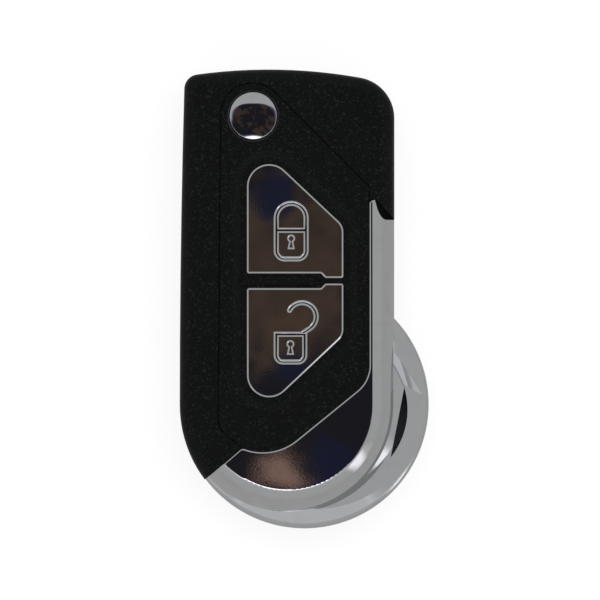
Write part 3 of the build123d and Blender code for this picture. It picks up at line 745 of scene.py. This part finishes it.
def wedge(sheet, radius, depth, angle):
    """Flat wedge, wide at the head's face and narrow inside."""
    inputs = {
        "Vertices": 4,
        "Radius Bottom": radius * WEDGE_MOUTH,
        "Radius Top": radius * WEDGE_POINT,
        "Depth": depth * (1 + WEDGE_START),
    }
    shape = sheet.node("GeometryNodeMeshCone", {}, inputs)[0]
    low = raised(sheet, shape, depth * -WEDGE_START)
    flat = {"Geometry": low, "Scale": (1.0, WEDGE_FLATNESS, 1.0)}
    shape = sheet.node("GeometryNodeTransform", {}, flat)[0]
    return sheet.node("GeometryNodeTransform", {}, {"Geometry": shape, "Rotation": (0, 0, angle)})[0]


def screw_recipe():
    """The tree of a screw: its head with the recess, its rod and its thread."""
    sheet, base, sizes = new_recipe("screw", SCREW_SIZES)
    rim, neck, height, shank, length, pitch, recess = sizes
    cone = {"Vertices": ROUND, "Radius Bottom": rim, "Radius Top": neck, "Depth": height}
    head = sheet.node("GeometryNodeMeshCone", {}, cone)[0]
    cuts = [wedge(sheet, recess, height, angle) for angle in (0, math.pi / 2)]
    difference = {"operation": "DIFFERENCE", "solver": "MANIFOLD"}
    head = sheet.node("GeometryNodeMeshBoolean", difference, {"Mesh 1": head, "Mesh 2": cuts})[0]
    run = length - height
    ridge_radius = pitch * THREAD_SHARE
    core = shank - ridge_radius
    rod = {"Vertices": ROUND, "Radius": core, "Depth": run}
    rod = raised(sheet, sheet.node("GeometryNodeMeshCylinder", {}, rod)[0], height + run / 2)
    spiral = {
        "Resolution": THREAD_ROUND,
        "Rotations": (run - pitch) / pitch,
        "Start Radius": core,
        "End Radius": core,
        "Height": run - pitch,
    }
    path = raised(sheet, sheet.node("GeometryNodeCurveSpiral", {}, spiral)[0], height + pitch / 2)
    ridge = {"Resolution": 4, "Radius": ridge_radius}
    ridge = sheet.node("GeometryNodeCurvePrimitiveCircle", {}, ridge)[0]
    inputs = {"Curve": path, "Profile Curve": ridge, "Fill Caps": True}
    thread = sheet.node("GeometryNodeCurveToMesh", {}, inputs)[0]
    screw = sheet.node("GeometryNodeJoinGeometry", {}, {"Geometry": [thread, rod, head]})[0]
    return end_recipe(sheet, base, screw, SCREW_TURN, screw_steel)


def screw_places(node, reach):
    """Feet of the node's two screws, which lie across the opposite corners of its box."""
    low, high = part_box(node)
    first = (low.x + reach, low.y + reach, low.z)
    second = (high.x - reach, high.y - reach, low.z)
    return [first, second]


CASE_SCREW = {
    "Rim radius": 1.9 * MM,
    "Neck radius": 0.9 * MM,
    "Head height": 1.2 * MM,
    "Shank radius": 0.9 * MM,
    "Length": 10.8 * MM,
    "Pitch": 0.9 * MM,
    "Recess": 1.1 * MM,
}
FRAME_SCREW = {
    "Rim radius": 1.75 * MM,
    "Neck radius": 1.9 * MM,
    "Head height": 0.8 * MM,
    "Shank radius": 0.6 * MM,
    "Length": 2.3 * MM,
    "Pitch": 0.5 * MM,
    "Recess": 0.9 * MM,
}
screw_tree = screw_recipe()
case_places = screw_places("case_screws", CASE_SCREW["Rim radius"])
frame_places = screw_places("frame_screws", FRAME_SCREW["Neck radius"])
case_screws = grow("case_screws_threaded", screw_tree, case_places, CASE_SCREW)
stand_in(case_screws, "case_screws", "case", screw_steel)
frame_screws = grow("frame_screws_threaded", screw_tree, frame_places, FRAME_SCREW)
stand_in(frame_screws, "frame_screws", "case", screw_steel)

# %% [markdown]
# The coil spring under the release button is wound wire whose end turns lie close together, so that it
# stands level on the cap and under the plunger. Its middle line is a flat ring of turns that is drawn
# upwards: slowly over the end turns and faster over the open ones. As the button goes down, the spring
# gets shorter towards the cap.

# %% Flip spring
WIRE = 0.6 * MM
COIL_TURNS = 7.0
END_TURNS = 1.0
COIL_ROUND = 40
WIRE_ROUND = 14


def spring_recipe():
    """The tree of a coil spring with closed end turns."""
    sheet, base, sizes = new_recipe("coil_spring", ["Coil radius", "Wire", "Height"])
    coil_radius, wire, height = sizes
    spiral = {
        "Resolution": COIL_ROUND,
        "Rotations": COIL_TURNS,
        "Start Radius": coil_radius,
        "End Radius": coil_radius,
        "Height": 0.0,
    }
    path = sheet.node("GeometryNodeCurveSpiral", {}, spiral)[0]
    along = sheet.node("GeometryNodeSplineParameter")[0]
    share = END_TURNS / COIL_TURNS
    first = along.math("MINIMUM", share) / share
    last = (along - (1 - share)).math("MAXIMUM", 0.0) / share
    middle = ((along - share) / (1 - 2 * share)).math("MAXIMUM", 0.0).math("MINIMUM", 1.0)
    rise = (first + last) * wire * END_TURNS + middle * (height - wire * (2 * END_TURNS))
    offset = sheet.node("ShaderNodeCombineXYZ", {}, {"Z": rise})[0]
    path = sheet.node("GeometryNodeSetPosition", {}, {"Geometry": path, "Offset": offset})[0]
    section = {"Resolution": WIRE_ROUND, "Radius": wire / 2}
    section = sheet.node("GeometryNodeCurvePrimitiveCircle", {}, section)[0]
    inputs = {"Curve": path, "Profile Curve": section, "Fill Caps": True}
    coil = sheet.node("GeometryNodeCurveToMesh", {}, inputs)[0]
    return end_recipe(sheet, base, coil, 0.0, spring_steel)


spring_low, spring_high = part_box("flip_spring")
spring_middle = (spring_low + spring_high) / 2
spring_foot = (spring_middle.x, spring_middle.y, spring_low.z + WIRE / 2)
spring_height = spring_high.z - spring_low.z
spring_sizes = {
    "Coil radius": (spring_high.x - spring_low.x - WIRE) / 2,
    "Wire": WIRE,
    "Height": spring_height - WIRE,
}
spring = grow("flip_spring_coil", spring_recipe(), [spring_foot], spring_sizes)
stand_in(spring, "flip_spring", "case", spring_steel)
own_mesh(spring)

# %% [markdown]
# The keypad is a silicone sheet with a dome under each key. A dome gives way as its key goes down,
# while the sheet keeps its shape. So the sheet is the CAD mesh without its domes, and each dome is a
# piece of its own: a skirt, turned round the dome's axis, with a flat nib on top.

# %% Keypad
DOME_HEIGHT = 1.1 * MM
DOME_RADIUS = 2.6 * MM
SHOULDER_RADIUS = 1.5 * MM
SHOULDER_HEIGHT = 0.8 * MM
NIB_RADIUS = 1.3 * MM
NIB_EDGE = 0.05 * MM
SKIRT_STEPS = 8
DOME_ROUND = 48


def pad_sheet(top):
    """The keypad's mesh below a height, closed where the domes stood."""
    made = bmesh.new()
    made.from_mesh(nodes["keypad"].data)
    bmesh.ops.remove_doubles(made, verts=made.verts, dist=MERGE)
    domes = [vert for vert in made.verts if vert.co.z > top + MERGE]
    bmesh.ops.delete(made, geom=domes, context="VERTS")
    rims = [edge for edge in made.edges if edge.is_boundary]
    bmesh.ops.holes_fill(made, edges=rims)
    sheet = as_object("keypad_sheet", made)
    sheet.data.attributes.remove(sheet.data.attributes["custom_normal"])
    settle(sheet)
    return sheet


def dome_section():
    """Radii and heights from the dome's foot over its shoulder to the top of the nib."""
    section = []
    for step in range(SKIRT_STEPS + 1):
        share = step / SKIRT_STEPS
        bend = (1 - math.cos(math.pi * share)) / 2
        section.append((DOME_RADIUS + (SHOULDER_RADIUS - DOME_RADIUS) * share, SHOULDER_HEIGHT * bend))
    section.append((NIB_RADIUS, SHOULDER_HEIGHT))
    section.append((NIB_RADIUS, DOME_HEIGHT - NIB_EDGE))
    section.append((NIB_RADIUS - NIB_EDGE, DOME_HEIGHT))
    return section


def pad_dome(name, x, y, foot):
    """Turned dome over a point of the sheet."""
    made = bmesh.new()
    angles = [2 * math.pi * index / DOME_ROUND for index in range(DOME_ROUND)]
    rings = []
    for radius, height in dome_section():
        spots = [(x + radius * math.cos(angle), y + radius * math.sin(angle)) for angle in angles]
        rings.append([made.verts.new((*spot, foot + height)) for spot in spots])
    for low, high in zip(rings, rings[1:]):
        bridge(made, low, high)
    made.faces.new(rings[0])
    made.faces.new(rings[-1])
    bmesh.ops.recalc_face_normals(made, faces=made.faces)
    dome = as_object(name, made)
    settle(dome)
    return dome


def dome_middle(button, top):
    """Middle of the CAD dome that lies under a button."""
    low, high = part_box(button)
    raised_points = [vert.co for vert in nodes["keypad"].data.vertices if vert.co.z > top + MERGE]
    own_points = [point for point in raised_points if low.y < point.y < high.y]
    return sum(own_points, Vector()) / len(own_points)


pad_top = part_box("keypad")[1].z - DOME_HEIGHT
stand_in(pad_sheet(pad_top), "keypad", "case", silicone)
for key in ("lock", "unlock"):
    middle = dome_middle(key + "_button", pad_top)
    dome = pad_dome(key + "_dome", middle.x, middle.y, pad_top)
    place_piece(dome, "case", silicone)
    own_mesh(dome)

# %% [markdown]
# The key lies on white paper. The camera sees the paper as plain white, as in a cut-out picture,
# and a share of real diffuse paper in it keeps the key's soft shadow. Mirrors and clear pieces see
# it a little darker, as the paper round a real key is. Under the crescent the paper gets no light,
# so it is drawn dark there, and nothing glows through the slit. The Light Path node tells by whom
# a ray was sent, and its outputs are taken by their number.

# %% Paper floor
FLOOR_SIZE = 1.6
FLOOR_CELLS = 8
FLOOR_DROP = 0.02 * MM
FIBRE_SCALE = 900.0
PAPER_LOW = (0.86, 0.86, 0.86, 1)
PAPER_HIGH = (0.90, 0.90, 0.90, 1)
WHITE_SHARE = 0.86
PAPER_HIDDEN = (0.11, 0.11, 0.12, 1)
MIRRORED_PAPER = 0.56
SHADE_RADIUS = 20.0 * MM
SHADE_BLUR = 1.0 * MM
WHITE = (1, 1, 1, 1)
CAMERA_RAY = 0
GLOSSY_RAY = 3
CLEAR_RAY = 6

floor_material, sheet = new_material("floor_paper")
place = sheet.place()
fibre = sheet.noise(place, FIBRE_SCALE, detail=3.0)
lit = distance(sheet, place, 0.0, RING_Y).step(SHADE_RADIUS - SHADE_BLUR, SHADE_RADIUS)
tone = sheet.mix(lit, PAPER_HIDDEN, sheet.mix(fibre, PAPER_LOW, PAPER_HIGH))
diffuse = sheet.node("ShaderNodeBsdfDiffuse", {}, {"Color": tone})[0]
path = sheet.node("ShaderNodeLightPath")
seen = path[CAMERA_RAY]
mirrored = path[GLOSSY_RAY] + path[CLEAR_RAY]
glow = {"Color": WHITE, "Strength": seen + mirrored * MIRRORED_PAPER}
white = sheet.node("ShaderNodeEmission", {}, glow)[0]
share = (seen * WHITE_SHARE + mirrored) * lit
surface = sheet.node("ShaderNodeMixShader", {}, {0: share, 1: diffuse, 2: white})[0]
sheet.node("ShaderNodeOutputMaterial", {}, {"Surface": surface})

floor_mesh = bmesh.new()
bmesh.ops.create_grid(floor_mesh, x_segments=FLOOR_CELLS, y_segments=FLOOR_CELLS, size=FLOOR_SIZE / 2)
bmesh.ops.translate(floor_mesh, verts=floor_mesh.verts, vec=(0, 0, -FLOOR_DROP))
floor = as_object("floor", floor_mesh)
floor.data.materials.append(floor_material)
print("floor, m:", FLOOR_SIZE)

# %% [markdown]
# The metal shows the room as a mirror, so the room is drawn by direction. Overhead is a dark
# ceiling with brown and blue patches, which the level faces show. Light grey walls stand round
# it, with a bright window low in the south and another in the south-east, which draw the white
# streaks on the frame's slopes. East, north and up are the parts of a direction, so a slope of s
# degrees mirrors what lies 2 s degrees from the zenith.

# %% Sky
CEILING_EAST = 0.38
CEILING_NORTH = 0.265
CEILING_SOUTH = 0.325
CEILING_SQUARENESS = 3.0
CEILING_EDGES = (0.92, 1.06)
FRINGE_EDGES = (0.80, 1.0)
HORIZON_BLUR = 0.1
CEILING_BLACK = (0.019, 0.019, 0.024, 1)
CEILING_BROWN = (0.105, 0.070, 0.050, 1)
CEILING_BLUE = (0.018, 0.021, 0.048, 1)
CEILING_WARM = (0.33, 0.205, 0.165, 1)
CEILING_FRINGE = (0.16, 0.14, 0.24, 1)
BROWN_PLACE = (-0.0050, 0.0040)
BROWN_RADIUS = 0.0210
WARM_PLACE = (-0.0034, -0.0312)
WARM_RADIUS = 0.0056
BLUE_PATCHES = [(0.0062, -0.0305, 0.0060), (-0.0046, 0.0190, 0.0045), (-0.0010, -0.0130, 0.0045)]
FRAY_EDGES = (0.10, 0.40)
CLOUD_SCALE = 150.0
CLOUD_SHARE = 0.6
FINE_SCALE = 420.0
NOISE_MIDDLE = 0.5
MOTTLE = 2.6
BROWN_LEVEL = 0.75
ZENITH_RADIUS = 0.05
BROAD_SCALE = 7.0
BROAD_EDGES = (0.50, 0.62)
BROAD_SHARE = 0.6
WALL = (0.60, 0.61, 0.61, 1)
WALL_SOUTH = (0.78, 0.78, 0.80, 1)
WALL_SOUTH_REACH = (0.44, 0.64)
WALL_BLUR = 0.05
WALL_LOW = (0.56, 0.555, 0.54, 1)
WALL_LOW_REACH = (0.02, 0.22)
WINDOW = (2.5, 2.48, 2.62, 1)
WINDOW_SOUTH = (0.325, 0.47)
WINDOW_BLUR = 0.015
WINDOW_SIDE = (0.20, 0.34)
GLOW_PLACE = (0.70, -0.58)
GLOW_EDGES = (0.06, 0.16)
GLOW_SHARE = 0.5


def between(value, low, high, edge):
    """1 where the value lies between two limits."""
    return value.step(low - edge, low + edge) * (1 - value.step(high - edge, high + edge))


world = bpy.data.worlds.new("studio")
scene.world = world
world.use_nodes = True
sheet = Sheet(world.node_tree)
direction = sheet.node("ShaderNodeTexCoord")[0]
east, north, up = sheet.split(direction)
south = 0 - north
middle = (CEILING_SOUTH - CEILING_NORTH) / 2
reach = (CEILING_SOUTH + CEILING_NORTH) / 2
across = abs(east / CEILING_EAST) ** CEILING_SQUARENESS
along = abs((south - middle) / reach) ** CEILING_SQUARENESS
edge = across + along
overhead = up.step(0.0, HORIZON_BLUR)
ceiling = (1 - edge.step(*CEILING_EDGES)) * overhead
cloud = sheet.noise(direction, CLOUD_SCALE, detail=4.0, roughness=0.6)
fine = sheet.noise(direction, FINE_SCALE, detail=3.0, roughness=0.6)
mottle = (cloud * CLOUD_SHARE + fine * (1 - CLOUD_SHARE) - NOISE_MIDDLE) * MOTTLE


def patch(x, y, radius):
    """1 inside a round patch whose edge is frayed."""
    inside = 1 - distance(sheet, direction, x, y) / radius
    return (inside + mottle).step(*FRAY_EDGES)


warm = patch(*WARM_PLACE, WARM_RADIUS)
blue = sum((patch(*spot) for spot in BLUE_PATCHES), 0).math("MINIMUM", 1.0)
outer = distance(sheet, direction, 0.0, 0.0).step(ZENITH_RADIUS, ZENITH_RADIUS * 2)
broad = sheet.noise(direction, BROAD_SCALE, detail=4.0, roughness=0.6).step(*BROAD_EDGES)
inner = patch(*BROWN_PLACE, BROWN_RADIUS) * (mottle + BROWN_LEVEL)
brown = inner.math("MAXIMUM", outer * broad * BROAD_SHARE)
dark = sheet.mix(brown, CEILING_BLACK, CEILING_BROWN)
dark = sheet.mix(blue, dark, CEILING_BLUE)
dark = sheet.mix(warm, dark, CEILING_WARM)
dark = sheet.mix(edge.step(*FRINGE_EDGES), dark, CEILING_FRINGE)
walls = sheet.mix(between(south, *WALL_SOUTH_REACH, WALL_BLUR), WALL, WALL_SOUTH)
walls = sheet.mix(1 - up.step(*WALL_LOW_REACH), walls, WALL_LOW)
window = between(south, *WINDOW_SOUTH, WINDOW_BLUR) * (1 - abs(east).step(*WINDOW_SIDE))
glow = 1 - distance(sheet, direction, *GLOW_PLACE).step(*GLOW_EDGES)
walls = sheet.mix(window.math("MAXIMUM", glow * GLOW_SHARE) * overhead, walls, WINDOW)
room = sheet.mix(ceiling, walls, dark)
seen = sheet.node("ShaderNodeLightPath")[CAMERA_RAY]
drawn = sheet.node("ShaderNodeBackground", {}, {"Color": room, "Strength": 1.0})[0]
plain = sheet.node("ShaderNodeBackground", {}, {"Color": WHITE, "Strength": 1.0})[0]
shown = sheet.node("ShaderNodeMixShader", {}, {0: seen, 1: drawn, 2: plain})[0]
sheet.node("ShaderNodeOutputWorld", {}, {"Surface": shown})
print("nodes in the sky:", len(world.node_tree.nodes))

# %% [markdown]
# One wide, soft lamp hangs over the key. It brings the paper and the dull pieces to a plain level
# and gives the key its faint shadow. The metal mirrors only the room, so mirrors and the camera
# don't see the lamp.

# %% Lamp
LAMP_SIZE = 1.2
LAMP_POWER = 17.0
LAMP_PLACE = (0.1, 0.3, 1.4)

lamp_data = bpy.data.lights.new("soft_lamp", "AREA")
lamp_data.shape = "DISK"
lamp_data.size = LAMP_SIZE
lamp_data.energy = LAMP_POWER
lamp = bpy.data.objects.new("soft_lamp", lamp_data)
lamp.location = LAMP_PLACE
lamp.rotation_euler = (-Vector(LAMP_PLACE)).to_track_quat("-Z", "Y").to_euler()
lamp.visible_glossy = False
lamp.visible_camera = False
scene.collection.objects.link(lamp)
print("lamp, W:", LAMP_POWER)
